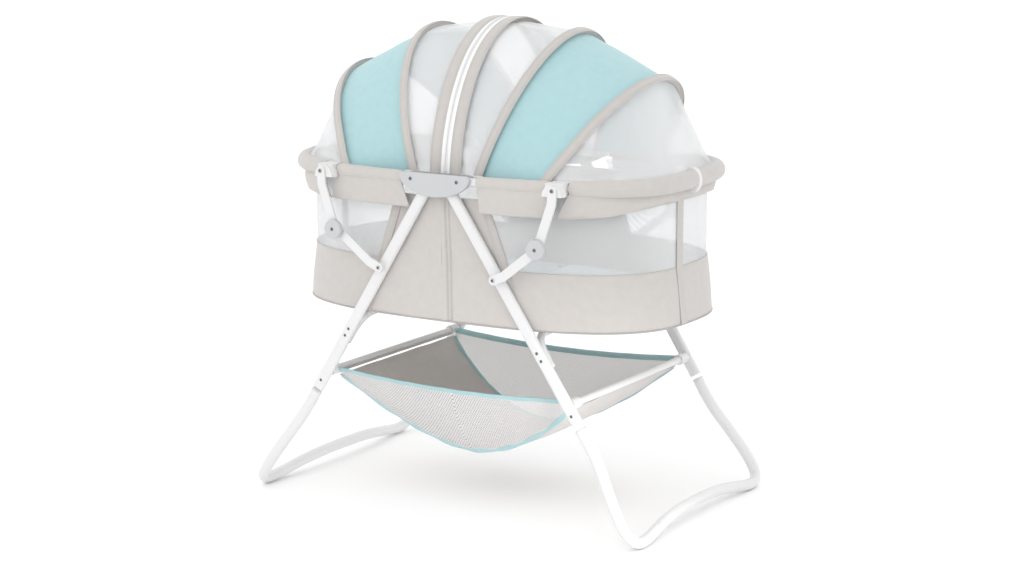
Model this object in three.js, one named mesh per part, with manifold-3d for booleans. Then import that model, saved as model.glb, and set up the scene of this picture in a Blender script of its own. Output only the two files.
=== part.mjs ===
// Folding bassinet on a crossed-leg stand.
//
// An oval fabric tub hangs from a rail made of two U-shaped tubes. The rail halves and the two
// pairs of legs pivot between a cover and a plate on each long side. A two-bar brace with a round
// knuckle holds each rail half out from its leg. Each half carries three canopy bows.
// Millimetres, +Z up, X along the tub, the near side is -Y, and the floor is z = 0.

import * as THREE from 'three';
import { mergeVertices } from 'three/addons/utils/BufferGeometryUtils.js';
import Module from 'manifold-3d';

// ---- Driving dimensions -------------------------------------------------------------------

const GAP = 0.4;                     // between pieces that meet

const SIDE_Y = 252;                  // centre of the rail tubes and leg tops, from the middle
const RAIL_Z = 660;
const RAIL_HALF_LENGTH = 410;        // centreline of the oval
const RAIL_POWER = 3.2;              // superellipse power: how square the oval's corners are
const RAIL_R = 8;
const RAIL_PIVOT = { x: 52, z: RAIL_Z };

const LEG_PIVOT = { x: 24, z: 645 };
const LEG_SLOPE = 0.6444;            // how far a leg runs outward for each millimetre down
const LEG_LEAN = 0.0328;             // how far it runs inward in Y for each millimetre down
const LEG_WIDTH = 24;
const LEG_THICK = 14;
const LEG_END_Z = 218;               // lower end of the flat-sided tube
const FOOT_R = 11;                   // radius of the round tube that stands on the floor

const CROSS_TUBE_R = 8;
const BASKET_BAR_Z = 253;
const BASKET_BAR_R = 7;
const BASKET_FITTING_R = 11;

const BRACE_TOP = { x: 261, z: RAIL_Z };      // pivot on the rail bracket
const BRACE_KNEE = { x: 229, z: 549 };        // knuckle
const BRACE_FOOT_Z = 480.5;                   // pivot on the leg
const LINK_WIDTH = 18;
const LINK_THICK = 4;
const LOWER_LINK_Y = 262;                     // inner face of the lower link
const UPPER_LINK_Y = LOWER_LINK_Y + LINK_THICK + GAP;
const KNUCKLE_R = 19.5;
const KNUCKLE_Y = UPPER_LINK_Y + LINK_THICK + GAP;
const KNUCKLE_THICK = 9;

const CLAMP = {                      // the bracket on the rail that holds the brace's top
  x: BRACE_TOP.x - 4, y: 236, length: 34, width: 46, height: 24, drop: 12, back: 250, segments: 10,
  lip: { half: 23, rise: 25, front: 260 },
  face: { half: 20.5, rise: 22.5 },
};
const CLIP = { half: 17.5, width: 12, depth: 24, drop: 2.5, sides: 20 };
const CLIP_OPENING = { back: 18.5, depth: 20, height: 40, drop: 18 };
const NET_NOTCH = { length: 60, width: 13, height: 24, rise: 11 };

const HUB_PLATE_Y = 238.5;           // inner face of the plate behind the tubes
const HUB_PLATE_THICK = 5;
const HUB_COVER_Y = SIDE_Y + RAIL_R + GAP;
const HUB_COVER_THICK = 7.5;
const STUD_R = 4;

const BOW_R = 3.5;
const BOW_HALF_WIDTH = 226;
const BOW_BASE_Z = 622.5;            // centre of each bow's half ellipse
const BOWS = {
  centre: { x: 20, height: 321, tilt: 0 },
  middle: { x: 56.5, height: 323, tilt: THREE.MathUtils.degToRad(19.6) },
  outer: { x: 193.5, height: 264, tilt: THREE.MathUtils.degToRad(33) },
};
const BOW_EYE_R = 8;
const BOW_EYE_Y = 222;               // inner face of the flat eye on a bow's end
const BOW_EYE_THICK = 8.5;
const BOW_PIN_R = 3;
const CANOPY_BRACKET_Y = 231;
const CANOPY_BRACKET_THICK = 5.4;
const CANOPY_LIFT = 4.5;             // how far the fabric stands off the bows' centres
const CANOPY_THICK = 1.5;
const NET_EDGE_Z = RAIL_Z + 14;      // lower edge of the net at the tub's ends

const TUB_POWER = 2.85;
const TUB_BOTTOM = { z: 387, halfLength: 412, halfWidth: 243 };
const TUB_BAND_TOP = { z: 495, halfLength: 400, halfWidth: 240 };
const TUB_RIM = { z: 646, halfLength: 400, halfWidth: 240 };
const TUB_THICK = 3;
const PANEL_TOP_Z = 626;             // the solid panel's upper edge, below the hub
const SEAM_TOP_X = 86;               // the panel's slanted seams at the rim
const SEAM_BOTTOM_X = 180;
const SEAM_GAP = 1.5;
const MATTRESS = { low: 390, high: 427, halfLength: 400, halfWidth: 232 };

const BASKET = { endX: 262, endZ: 249, lowZ: 106, endY: 214, lowY: 140, sag: 12, thick: 2 };

// ---- Materials ----------------------------------------------------------------------------

function material(colour, roughness, metalness = 0) {
  return new THREE.MeshStandardMaterial({ color: colour, roughness, metalness });
}

const WHITE_STEEL = material(0xf2f2f2, 0.35, 0.1);
const WHITE_PLASTIC = material(0xf5f5f4, 0.45);
const GREY_PLASTIC = material(0xd4d5d8, 0.5);
const GREY_FABRIC = material(0xd9d4d0, 0.9);
const AQUA_FABRIC = material(0xb8e2e6, 0.85);
const NET_FABRIC = material(0xf1f2f4, 0.95);
const PAD_FABRIC = material(0xcfe3ea, 0.9);

// ---- Geometry helpers ---------------------------------------------------------------------

const wasm = await Module();
wasm.setup();

/** The same surface with shared vertices merged, so that it is one closed body. */
function merged(geometry) {
  const copy = geometry.clone();
  copy.deleteAttribute('normal');
  copy.deleteAttribute('uv');
  return mergeVertices(copy, 1e-3);
}

function solid(geometry) {
  const closed = merged(geometry);
  return new wasm.Manifold(new wasm.Mesh({
    numProp: 3,
    vertProperties: new Float32Array(closed.attributes.position.array),
    triVerts: new Uint32Array(closed.index.array),
  }));
}

function geometryOf(manifold) {
  const mesh = manifold.getMesh();
  const geometry = new THREE.BufferGeometry();
  geometry.setAttribute('position', new THREE.BufferAttribute(new Float32Array(mesh.vertProperties), 3));
  geometry.setIndex(new THREE.BufferAttribute(new Uint32Array(mesh.triVerts), 1));
  return geometry;
}

function join(...geometries) {
  return geometryOf(geometries.map(solid).reduce((sum, piece) => sum.add(piece)));
}

function cut(geometry, ...tools) {
  return geometryOf(tools.map(solid).reduce((left, tool) => left.subtract(tool), solid(geometry)));
}

/** A mirror image, with its faces still pointing out. */
function mirrored(geometry, xSign, ySign) {
  const image = merged(geometry);
  image.applyMatrix4(new THREE.Matrix4().makeScale(xSign, ySign, 1));
  if (xSign * ySign < 0) {
    const index = image.index.array;
    for (let k = 0; k < index.length; k += 3) {
      [index[k + 1], index[k + 2]] = [index[k + 2], index[k + 1]];
    }
  }
  return image;
}

/** A round bar along a list of points. */
function tube(points, radius, steps, sides = 8) {
  const section = new THREE.Shape().absarc(0, 0, radius, 0, 2 * Math.PI);
  return new THREE.ExtrudeGeometry(section, {
    steps,
    curveSegments: sides / 2,
    bevelEnabled: false,
    extrudePath: new THREE.CatmullRomCurve3(points),
  });
}

/** An outline in X and Z, made solid from yLow to yHigh. */
function plate(outline, yLow, yHigh, curveSegments = 4) {
  const geometry = new THREE.ExtrudeGeometry(outline, {
    depth: yHigh - yLow, bevelEnabled: false, curveSegments,
  });
  return geometry.rotateX(Math.PI / 2).translate(0, yHigh, 0);
}

/** Half an ellipse standing on a flat base. */
function dome(x, base, halfWidth, height) {
  return new THREE.Shape().absellipse(x, base, halfWidth, height, 0, Math.PI);
}

/** A pin along Y. */
function pin(at, radius, yLow, yHigh, sides = 12) {
  const geometry = new THREE.CylinderGeometry(radius, radius, yHigh - yLow, sides);
  return geometry.translate(at.x, (yLow + yHigh) / 2, at.z);
}

/** A strip with round ends between two points in X and Z. */
function strip(from, to, width) {
  const along = Math.atan2(to.z - from.z, to.x - from.x);
  const quarter = Math.PI / 2;
  return new THREE.Shape()
    .absarc(from.x, from.z, width / 2, along + quarter, along + 3 * quarter)
    .absarc(to.x, to.z, width / 2, along - quarter, along + quarter);
}

/** A closed thin slab over surface(u, v), between two heights along its normal. */
function sheet(surface, uSteps, vSteps, high, low) {
  const step = 1e-3;
  const positions = [];
  const columns = vSteps + 1;
  const layer = (uSteps + 1) * columns;
  for (const height of [high, low]) {
    for (let i = 0; i <= uSteps; i++) {
      for (let j = 0; j <= vSteps; j++) {
        const [u, v] = [i / uSteps, j / vSteps];
        const du = surface(Math.min(u + step, 1), v).sub(surface(Math.max(u - step, 0), v));
        const dv = surface(u, Math.min(v + step, 1)).sub(surface(u, Math.max(v - step, 0)));
        const normal = du.cross(dv).normalize();
        positions.push(...surface(u, v).addScaledVector(normal, height).toArray());
      }
    }
  }
  const index = [];
  const quad = (a, b, c, d) => index.push(a, b, c, a, c, d);
  const at = (i, j, side = 0) => side * layer + i * columns + j;
  for (let i = 0; i < uSteps; i++) {
    for (let j = 0; j < vSteps; j++) {
      quad(at(i, j), at(i + 1, j), at(i + 1, j + 1), at(i, j + 1));
      quad(at(i, j, 1), at(i, j + 1, 1), at(i + 1, j + 1, 1), at(i + 1, j, 1));
    }
    quad(at(i, 0, 1), at(i + 1, 0, 1), at(i + 1, 0), at(i, 0));
    quad(at(i, vSteps), at(i + 1, vSteps), at(i + 1, vSteps, 1), at(i, vSteps, 1));
  }
  for (let j = 0; j < vSteps; j++) {
    quad(at(0, j), at(0, j + 1), at(0, j + 1, 1), at(0, j, 1));
    quad(at(uSteps, j, 1), at(uSteps, j + 1, 1), at(uSteps, j + 1), at(uSteps, j));
  }
  const geometry = new THREE.BufferGeometry();
  geometry.setAttribute('position', new THREE.Float32BufferAttribute(positions, 3));
  geometry.setIndex(index);
  return geometry;
}

/** A point of a superellipse. */
function oval(halfLength, halfWidth, power, angle) {
  const [c, s] = [Math.cos(angle), Math.sin(angle)];
  return {
    x: Math.sign(c) * halfLength * Math.abs(c) ** (2 / power),
    y: Math.sign(s) * halfWidth * Math.abs(s) ** (2 / power),
  };
}

/** The angle at which a superellipse reaches x. */
function ovalAngle(x, halfLength, power) {
  return Math.acos((x / halfLength) ** (power / 2));
}

/** A point in the sloping plane of the right legs. */
function onLeg(z, y) {
  return new THREE.Vector3(LEG_PIVOT.x + (LEG_PIVOT.z - z) * LEG_SLOPE, y, z);
}

/** How far the middle of a leg tube stands from the middle of the bassinet. */
function legY(z) {
  return SIDE_Y - (LEG_PIVOT.z - z) * LEG_LEAN;
}

// ---- The assembly -------------------------------------------------------------------------

const bassinet = new THREE.Group();

function place(name, geometry, finish) {
  const closed = merged(geometry);
  closed.computeVertexNormals();
  const mesh = new THREE.Mesh(closed, finish);
  mesh.name = name;
  bassinet.add(mesh);
}

/** A piece drawn for the far right corner, placed at all four corners. */
function placeFour(name, geometry, finish) {
  for (const [side, ySign] of [['near', -1], ['far', 1]]) {
    for (const [end, xSign] of [['left', -1], ['right', 1]]) {
      place(`${name}_${side}_${end}`, mirrored(geometry, xSign, ySign), finish);
    }
  }
}

/** A piece drawn for the right half, placed at both ends. */
function placeEnds(name, geometry, finish) {
  place(`${name}_left`, mirrored(geometry, -1, 1), finish);
  place(`${name}_right`, geometry, finish);
}

/** A piece drawn for the far side, placed on both sides. */
function placeSides(name, geometry, finish) {
  place(`${name}_near`, mirrored(geometry, 1, -1), finish);
  place(`${name}_far`, geometry, finish);
}

// ---- Hub ----------------------------------------------------------------------------------

/** Boat-shaped outline: a nearly flat top and a full, rounded belly. */
function boat(halfWidth, top, bottom) {
  const shoulder = top - 8;
  return new THREE.Shape()
    .moveTo(-halfWidth, shoulder)
    .bezierCurveTo(-halfWidth + 2, shoulder - 18, -halfWidth * 0.55, bottom, 0, bottom)
    .bezierCurveTo(halfWidth * 0.55, bottom, halfWidth - 2, shoulder - 18, halfWidth, shoulder)
    .quadraticCurveTo(halfWidth, top, halfWidth - 8, top)
    .lineTo(-halfWidth + 8, top)
    .quadraticCurveTo(-halfWidth, top, -halfWidth, shoulder);
}

function bothEnds(point) {
  return [point, { x: -point.x, z: point.z }];
}

const coverTop = 672;
const coverBottom = 627;
placeSides('hub_cover',
  plate(boat(80, coverTop, coverBottom), HUB_COVER_Y, HUB_COVER_Y + HUB_COVER_THICK), GREY_PLASTIC);

const hubPlate = plate(boat(70, coverTop - 1, coverBottom + 2), HUB_PLATE_Y, HUB_PLATE_Y + HUB_PLATE_THICK);
const hubStuds = [...bothEnds(RAIL_PIVOT), ...bothEnds(LEG_PIVOT)]
  .map((at) => pin(at, STUD_R, HUB_PLATE_Y + 1, HUB_COVER_Y - GAP));
placeSides('hub_plate', join(hubPlate, ...hubStuds), WHITE_STEEL);

// ---- Rail ---------------------------------------------------------------------------------

const railStart = ovalAngle(RAIL_PIVOT.x - 9, RAIL_HALF_LENGTH, RAIL_POWER);

function railPoint(angle, z = RAIL_Z) {
  const at = oval(RAIL_HALF_LENGTH, SIDE_Y, RAIL_POWER, angle);
  return new THREE.Vector3(at.x, at.y, z);
}

const railPoints = Array.from({ length: 49 }, (_, k) => railPoint(railStart * (k / 24 - 1)));
const railHoles = [-1, 1].map((side) => pin(RAIL_PIVOT, STUD_R + GAP, side * SIDE_Y - 20, side * SIDE_Y + 20));
placeEnds('rail', cut(tube(railPoints, RAIL_R, 40), ...railHoles), WHITE_STEEL);

/** The rail with room round it, to cut what clamps it. */
function railClearance() {
  return tube(railPoints, RAIL_R + GAP, 40);
}

// A clamp round the rail with the pivot stud of the brace's upper link.
const clampBase = RAIL_Z - CLAMP.drop;
const clampBlock = new THREE.BoxGeometry(CLAMP.length, CLAMP.width, CLAMP.height)
  .translate(CLAMP.x, CLAMP.y, RAIL_Z);
const clampLip = plate(
  dome(CLAMP.x, clampBase, CLAMP.lip.half, CLAMP.lip.rise), CLAMP.back, CLAMP.lip.front, CLAMP.segments);
const clampFace = plate(
  dome(CLAMP.x, clampBase, CLAMP.face.half, CLAMP.face.rise), CLAMP.back, UPPER_LINK_Y - GAP, CLAMP.segments);
const clampStud = pin(BRACE_TOP, STUD_R, UPPER_LINK_Y - 2, UPPER_LINK_Y + LINK_THICK + 1.5);
placeFour('rail_bracket', cut(join(clampBlock, clampLip, clampFace, clampStud), railClearance()), WHITE_PLASTIC);

// A plastic clip over the middle of each end of the rail, open towards the tub's net.
const clip = new THREE.CylinderGeometry(1, 1, CLIP.width, CLIP.sides).scale(CLIP.half, 1, CLIP.depth)
  .translate(RAIL_HALF_LENGTH, 0, RAIL_Z - CLIP.drop);
const clipOpening = new THREE.BoxGeometry(CLIP_OPENING.depth, CLIP_OPENING.depth, CLIP_OPENING.height)
  .translate(RAIL_HALF_LENGTH - CLIP_OPENING.back, 0, TUB_RIM.z - CLIP_OPENING.drop);
placeEnds('rail_ring', cut(clip, railClearance(), clipOpening), WHITE_PLASTIC);

// ---- Legs ---------------------------------------------------------------------------------

/** A flat-sided tube down the leg's line, with a round top about its pivot. */
function legTube() {
  const straight = LEG_WIDTH - LEG_THICK;
  const half = LEG_THICK / 2;
  const section = new THREE.Shape()
    .absarc(0, -straight / 2, half, Math.PI, 2 * Math.PI)
    .absarc(0, straight / 2, half, 0, Math.PI);
  const top = onLeg(LEG_PIVOT.z + LEG_WIDTH / 2 * 0.8, legY(LEG_PIVOT.z));
  const end = onLeg(LEG_END_Z, legY(LEG_END_Z));
  return new THREE.ExtrudeGeometry(section, {
    steps: 1,
    curveSegments: 3,
    bevelEnabled: false,
    extrudePath: new THREE.LineCurve3(top, end),
  });
}

const braceFoot = { x: onLeg(BRACE_FOOT_Z, 0).x, z: BRACE_FOOT_Z };
const footFace = legY(BRACE_FOOT_Z) + LEG_THICK / 2;
const legBoss = pin(braceFoot, 9, footFace - 4, LOWER_LINK_Y - GAP);
const legStud = pin(braceFoot, STUD_R, footFace - 4, LOWER_LINK_Y + LINK_THICK + 2);
const legHole = pin(LEG_PIVOT, STUD_R + GAP, SIDE_Y - 20, SIDE_Y + 20);
placeFour('leg', cut(join(legTube(), legBoss, legStud), legHole), WHITE_STEEL);

// The round tube below each pair of legs: out to the side, down, and across the floor. Its
// middle is arched, so it stands on its corners.
const footRoute = [
  [LEG_END_Z - 7, legY(LEG_END_Z)], [185, 236], [150, 240], [112, 253], [76, 264], [46, 269],
  [24, 264], [12.5, 250], [FOOT_R, 232], [13, 205], [20, 160], [27, 105], [30, 50],
];
const footHalf = footRoute.map(([z, y]) => onLeg(z, -y));
const footPoints = [
  ...footHalf,
  ...footHalf.toReversed().map((point) => new THREE.Vector3(point.x, -point.y, point.z)),
];
placeEnds('foot_frame', tube(footPoints, FOOT_R, 48), WHITE_STEEL);

// The tube under the tub floor, with its ends bent down against the legs.
const crossY = legY(330) - LEG_THICK / 2 - CROSS_TUBE_R - GAP;
const crossRoute = [[318, crossY], [335, crossY], [350, crossY - 1], [366, crossY - 8], [375, crossY - 24],
  [376.5, crossY - 50], [376.5, 90]];
const crossHalf = crossRoute.map(([z, y]) => onLeg(z, -y));
const crossPoints = [
  ...crossHalf,
  ...crossHalf.toReversed().map((point) => new THREE.Vector3(point.x, -point.y, point.z)),
];
placeEnds('cross_tube', tube(crossPoints, CROSS_TUBE_R, 26), WHITE_STEEL);

// The bar that carries an end of the basket, with a socket at each leg.
const basketBarEnd = legY(BASKET_BAR_Z) - LEG_THICK / 2 - GAP - 0.6;
const socketLength = 27;
const barProfile = [
  [0, -basketBarEnd], [BASKET_FITTING_R, -basketBarEnd], [BASKET_FITTING_R, socketLength - basketBarEnd],
  [BASKET_BAR_R, socketLength - basketBarEnd], [BASKET_BAR_R, basketBarEnd - socketLength],
  [BASKET_FITTING_R, basketBarEnd - socketLength], [BASKET_FITTING_R, basketBarEnd], [0, basketBarEnd],
].map(([radius, y]) => new THREE.Vector2(radius, y));
const basketBarX = onLeg(BASKET_BAR_Z, 0).x;
placeEnds('basket_bar',
  new THREE.LatheGeometry(barProfile, 12).translate(basketBarX, 0, BASKET_BAR_Z), WHITE_PLASTIC);

// ---- Braces -------------------------------------------------------------------------------

/** A bent link: two strips that share a corner, with a hole at its pivot. */
function link(pivot, corner, knee, yLow) {
  const yHigh = yLow + LINK_THICK;
  const bars = join(
    plate(strip(pivot, corner, LINK_WIDTH), yLow, yHigh),
    plate(strip(corner, knee, LINK_WIDTH), yLow, yHigh),
  );
  return cut(bars, pin(pivot, STUD_R + GAP, yLow - 5, yHigh + 5));
}

const upperCorner = { x: 259, z: 634 };
const lowerCorner = { x: braceFoot.x + 23, z: braceFoot.z + 10 };
placeFour('upper_link', link(BRACE_TOP, upperCorner, BRACE_KNEE, UPPER_LINK_Y), WHITE_STEEL);
placeFour('lower_link', link(braceFoot, lowerCorner, BRACE_KNEE, LOWER_LINK_Y), WHITE_STEEL);

const knuckleProfile = [[0, 0], [KNUCKLE_R, 0], [KNUCKLE_R, KNUCKLE_THICK - 3],
  [KNUCKLE_R - 3, KNUCKLE_THICK], [0, KNUCKLE_THICK]].map(([radius, y]) => new THREE.Vector2(radius, y));
placeFour('knuckle',
  new THREE.LatheGeometry(knuckleProfile, 20).translate(BRACE_KNEE.x, KNUCKLE_Y, BRACE_KNEE.z), GREY_PLASTIC);

// ---- Canopy frame -------------------------------------------------------------------------

/** A point of a bow's half ellipse, from its near end at angle 0 to its far end at pi. */
function bowPoint(bow, angle) {
  const rise = bow.height * Math.sin(angle);
  return new THREE.Vector3(
    bow.x + rise * Math.sin(bow.tilt),
    -BOW_HALF_WIDTH * Math.cos(angle),
    BOW_BASE_Z + rise * Math.cos(bow.tilt),
  );
}

/** The angle at which a bow passes the height z. */
function bowAngle(bow, z) {
  return Math.asin((z - BOW_BASE_Z) / (bow.height * Math.cos(bow.tilt)));
}

function bowFoot(bow) {
  return { x: bow.x + (RAIL_Z - BOW_BASE_Z) * Math.tan(bow.tilt), z: RAIL_Z };
}

/** A bow with a flat end on each side: an eye where it turns, or a tab where it is fixed. */
function bowGeometry(bow, eyeDepth, holed) {
  const first = bowAngle(bow, RAIL_Z + 2);
  const points = Array.from({ length: 33 }, (_, k) => bowPoint(bow, first + (Math.PI - 2 * first) * k / 32));
  const foot = bowFoot(bow);
  const ends = [-1, 1].map((side) => {
    const [a, b] = [side * BOW_EYE_Y, side * (BOW_EYE_Y + eyeDepth)];
    return pin(foot, BOW_EYE_R, Math.min(a, b), Math.max(a, b));
  });
  const whole = join(tube(points, BOW_R, 22, 6), ...ends);
  return holed ? cut(whole, pin(foot, BOW_PIN_R + GAP, -300, 300)) : whole;
}

placeEnds('bow_centre', bowGeometry(BOWS.centre, BOW_EYE_THICK, true), WHITE_PLASTIC);
placeEnds('bow_middle', bowGeometry(BOWS.middle, BOW_EYE_THICK, true), WHITE_PLASTIC);
const outerBow = bowGeometry(BOWS.outer, BOW_EYE_THICK + 6, false);
placeEnds('bow_outer', cut(outerBow, railClearance()), WHITE_PLASTIC);

// The bar inside the hub that holds two bows' pivots and is fixed to the rail beyond the hub.
const canopyBar = plate(strip({ x: 20, z: RAIL_Z }, { x: 85, z: RAIL_Z }, 20),
  CANOPY_BRACKET_Y, CANOPY_BRACKET_Y + CANOPY_BRACKET_THICK);
const canopyLug = new THREE.BoxGeometry(13, 10, 15).translate(88, SIDE_Y - RAIL_R - 5, RAIL_Z);
const canopyPins = [BOWS.centre, BOWS.middle]
  .map((bow) => pin(bowFoot(bow), BOW_PIN_R, BOW_EYE_Y, CANOPY_BRACKET_Y + 2));
placeFour('canopy_bracket', cut(join(canopyBar, canopyLug, ...canopyPins), railClearance()), WHITE_PLASTIC);

// ---- Canopy fabric ------------------------------------------------------------------------

/** Fabric stretched from one bow to the next, kept clear of the rail below it. */
function canopyPanel(from, to, lowestZ) {
  const span = (bow, v) => {
    const first = bowAngle(bow, lowestZ);
    return bowPoint(bow, first + (Math.PI - 2 * first) * v);
  };
  const inset = 0.02;
  const surface = (u, v) => span(from, v).lerp(span(to, v), inset + (1 - 2 * inset) * u);
  return sheet(surface, 1, 18, CANOPY_LIFT + CANOPY_THICK, CANOPY_LIFT);
}

placeEnds('canopy_window', canopyPanel(BOWS.centre, BOWS.middle, 676), NET_FABRIC);
placeEnds('canopy_panel', canopyPanel(BOWS.middle, BOWS.outer, 676), AQUA_FABRIC);

// Net drawn tight from the outer bow to the end of the rail.
const netStart = ovalAngle(BRACE_TOP.x + 28, RAIL_HALF_LENGTH, RAIL_POWER);
function endNet(u, v) {
  const first = bowAngle(BOWS.outer, 690);
  const onBow = bowPoint(BOWS.outer, first + (Math.PI - 2 * first) * v);
  const onRail = railPoint(netStart * (2 * v - 1), NET_EDGE_Z);
  return onBow.lerp(onRail, 0.03 + 0.97 * u);
}
const endSheet = sheet(endNet, 2, 18, CANOPY_LIFT + CANOPY_THICK, CANOPY_LIFT);
const clipNotch = new THREE.BoxGeometry(NET_NOTCH.length, NET_NOTCH.width, NET_NOTCH.height)
  .translate(RAIL_HALF_LENGTH, 0, RAIL_Z + NET_NOTCH.rise);
placeEnds('canopy_end_net', cut(endSheet, clipNotch), NET_FABRIC);

// ---- Tub ----------------------------------------------------------------------------------

/** The tub's outline at a height: straight between the bottom, the top of the band and the rim. */
function tubSize(z) {
  const [low, high] = z < TUB_BAND_TOP.z ? [TUB_BOTTOM, TUB_BAND_TOP] : [TUB_BAND_TOP, TUB_RIM];
  const share = (z - low.z) / (high.z - low.z);
  return {
    halfLength: THREE.MathUtils.lerp(low.halfLength, high.halfLength, share),
    halfWidth: THREE.MathUtils.lerp(low.halfWidth, high.halfWidth, share),
  };
}

function seamX(z) {
  const share = (z - TUB_BOTTOM.z) / (TUB_RIM.z - TUB_BOTTOM.z);
  return THREE.MathUtils.lerp(SEAM_BOTTOM_X, SEAM_TOP_X, share);
}

/** The wall round one end of the tub, from the near seam to the far seam. */
function tubWall(u, v) {
  const z = THREE.MathUtils.lerp(TUB_BOTTOM.z, TUB_RIM.z, v);
  const { halfLength, halfWidth } = tubSize(z);
  const reach = ovalAngle(seamX(z) + SEAM_GAP, halfLength, TUB_POWER);
  const at = oval(halfLength, halfWidth, TUB_POWER, reach * (2 * u - 1));
  return new THREE.Vector3(at.x, at.y, z);
}

/** The solid panel on the far side, between its two seams. */
function tubPanel(u, v) {
  const z = THREE.MathUtils.lerp(TUB_BOTTOM.z, PANEL_TOP_Z, v);
  const { halfLength, halfWidth } = tubSize(z);
  const x = (seamX(z) - SEAM_GAP) * (1 - 2 * u);
  const y = halfWidth * (1 - Math.abs(x / halfLength) ** TUB_POWER) ** (1 / TUB_POWER);
  return new THREE.Vector3(x, y, z);
}

placeEnds('tub_wall', sheet(tubWall, 26, 3, 0, -TUB_THICK), GREY_FABRIC);
placeSides('tub_panel', sheet(tubPanel, 6, 2, 0, -TUB_THICK), GREY_FABRIC);

/** A flat oval outline, whole or only its right half. */
function ovalShape(halfLength, halfWidth, half) {
  const reach = half ? ovalAngle(0.5, halfLength, TUB_POWER) : Math.PI;
  const count = half ? 28 : 56;
  const points = Array.from({ length: half ? count + 1 : count }, (_, k) => {
    const at = oval(halfLength, halfWidth, TUB_POWER, reach * (2 * k / count - 1));
    return new THREE.Vector2(at.x, at.y);
  });
  return new THREE.Shape(points);
}

const inside = TUB_THICK + 1;
const floorShape = ovalShape(TUB_BOTTOM.halfLength - inside, TUB_BOTTOM.halfWidth - inside, false);
const floorSheet = new THREE.ExtrudeGeometry(floorShape, { depth: 2, bevelEnabled: false });
place('tub_floor', floorSheet.translate(0, 0, TUB_BOTTOM.z), GREY_FABRIC);

const padShape = ovalShape(MATTRESS.halfLength, MATTRESS.halfWidth, true);
const pad = new THREE.ExtrudeGeometry(padShape, { depth: MATTRESS.high - MATTRESS.low, bevelEnabled: false });
placeEnds('mattress', pad.translate(0, 0, MATTRESS.low), PAD_FABRIC);

// ---- Basket -------------------------------------------------------------------------------

/** Share of the way from the middle of the basket to its end bar, shaped for a hanging cloth. */
function slingEdge(x) {
  const share = Math.abs(x) / BASKET.endX;
  return {
    y: THREE.MathUtils.lerp(BASKET.lowY, BASKET.endY, share ** 2),
    z: THREE.MathUtils.lerp(BASKET.lowZ, BASKET.endZ, share ** 1.8),
  };
}

function sling(u, v) {
  const x = BASKET.endX * (2 * u - 1);
  const edge = slingEdge(x);
  return new THREE.Vector3(x, edge.y * (2 * v - 1), edge.z);
}

/** The net on the far side, from the sling's edge up to the bound top edge. */
function basketNet(u, v) {
  const x = (BASKET.endX - 16) * (1 - 2 * u);
  const edge = slingEdge(x);
  const topZ = BASKET.endZ + 3 - BASKET.sag * (1 - (x / BASKET.endX) ** 2);
  const low = new THREE.Vector3(x, edge.y, edge.z + 2);
  return low.lerp(new THREE.Vector3(x, BASKET.endY + 1, topZ), 0.04 + 0.96 * v);
}

place('basket_sling', sheet(sling, 14, 2, 0, -BASKET.thick), GREY_FABRIC);
placeSides('basket_net', sheet(basketNet, 14, 2, BASKET.thick, 0.5), NET_FABRIC);

export default bassinet;
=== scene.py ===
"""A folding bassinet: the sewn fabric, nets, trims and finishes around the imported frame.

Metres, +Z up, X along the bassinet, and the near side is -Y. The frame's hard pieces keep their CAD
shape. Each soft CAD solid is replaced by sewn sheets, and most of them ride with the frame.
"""

import math

import bmesh
import bpy
import numpy as np
from mathutils import Matrix, Vector, noise
from mathutils.geometry import convex_hull_2d


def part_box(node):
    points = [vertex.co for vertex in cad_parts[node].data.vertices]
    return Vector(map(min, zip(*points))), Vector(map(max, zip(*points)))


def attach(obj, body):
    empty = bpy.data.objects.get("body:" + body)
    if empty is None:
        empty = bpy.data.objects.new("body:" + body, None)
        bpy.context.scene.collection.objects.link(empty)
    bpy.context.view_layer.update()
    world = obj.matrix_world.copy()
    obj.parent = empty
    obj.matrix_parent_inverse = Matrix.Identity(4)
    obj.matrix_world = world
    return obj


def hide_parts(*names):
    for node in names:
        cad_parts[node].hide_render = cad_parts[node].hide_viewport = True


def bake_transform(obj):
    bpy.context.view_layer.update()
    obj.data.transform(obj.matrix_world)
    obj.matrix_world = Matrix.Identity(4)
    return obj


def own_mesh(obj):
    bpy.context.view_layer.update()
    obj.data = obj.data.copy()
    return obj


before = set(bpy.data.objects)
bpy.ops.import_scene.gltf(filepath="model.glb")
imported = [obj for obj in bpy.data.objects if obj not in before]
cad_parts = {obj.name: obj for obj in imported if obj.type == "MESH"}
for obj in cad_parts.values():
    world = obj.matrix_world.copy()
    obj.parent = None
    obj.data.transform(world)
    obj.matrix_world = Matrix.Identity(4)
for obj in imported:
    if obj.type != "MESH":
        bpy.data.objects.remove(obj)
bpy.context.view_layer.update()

# ---- Dimensions, from the frame

ENDS = (("left", -1), ("right", 1))
SIDES = (("near", -1), ("far", 1))

RAIL_R = 0.008
RAIL_POWER = 3.2
rail_low, rail_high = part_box("rail_right")
RAIL_A = rail_high.x - RAIL_R
RAIL_B = rail_high.y - RAIL_R
RAIL_Z = (rail_low.z + rail_high.z) / 2

TUB_POWER = 2.85
TUB_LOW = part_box("tub_wall_right")[0].z
TUB_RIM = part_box("tub_wall_right")[1].z
TUB_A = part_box("tub_wall_right")[1].x
TUB_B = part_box("tub_panel_far")[1].y
BAND_TOP = TUB_LOW + 0.108
BAND_TAPER = (0.012, 0.003)          # how much shorter and narrower the band's top is
PANEL_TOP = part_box("tub_panel_far")[1].z
SEAM_LOW_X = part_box("tub_panel_far")[1].x
SEAM_RIM_X = 0.086
PIPING_R = 0.0019

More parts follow.
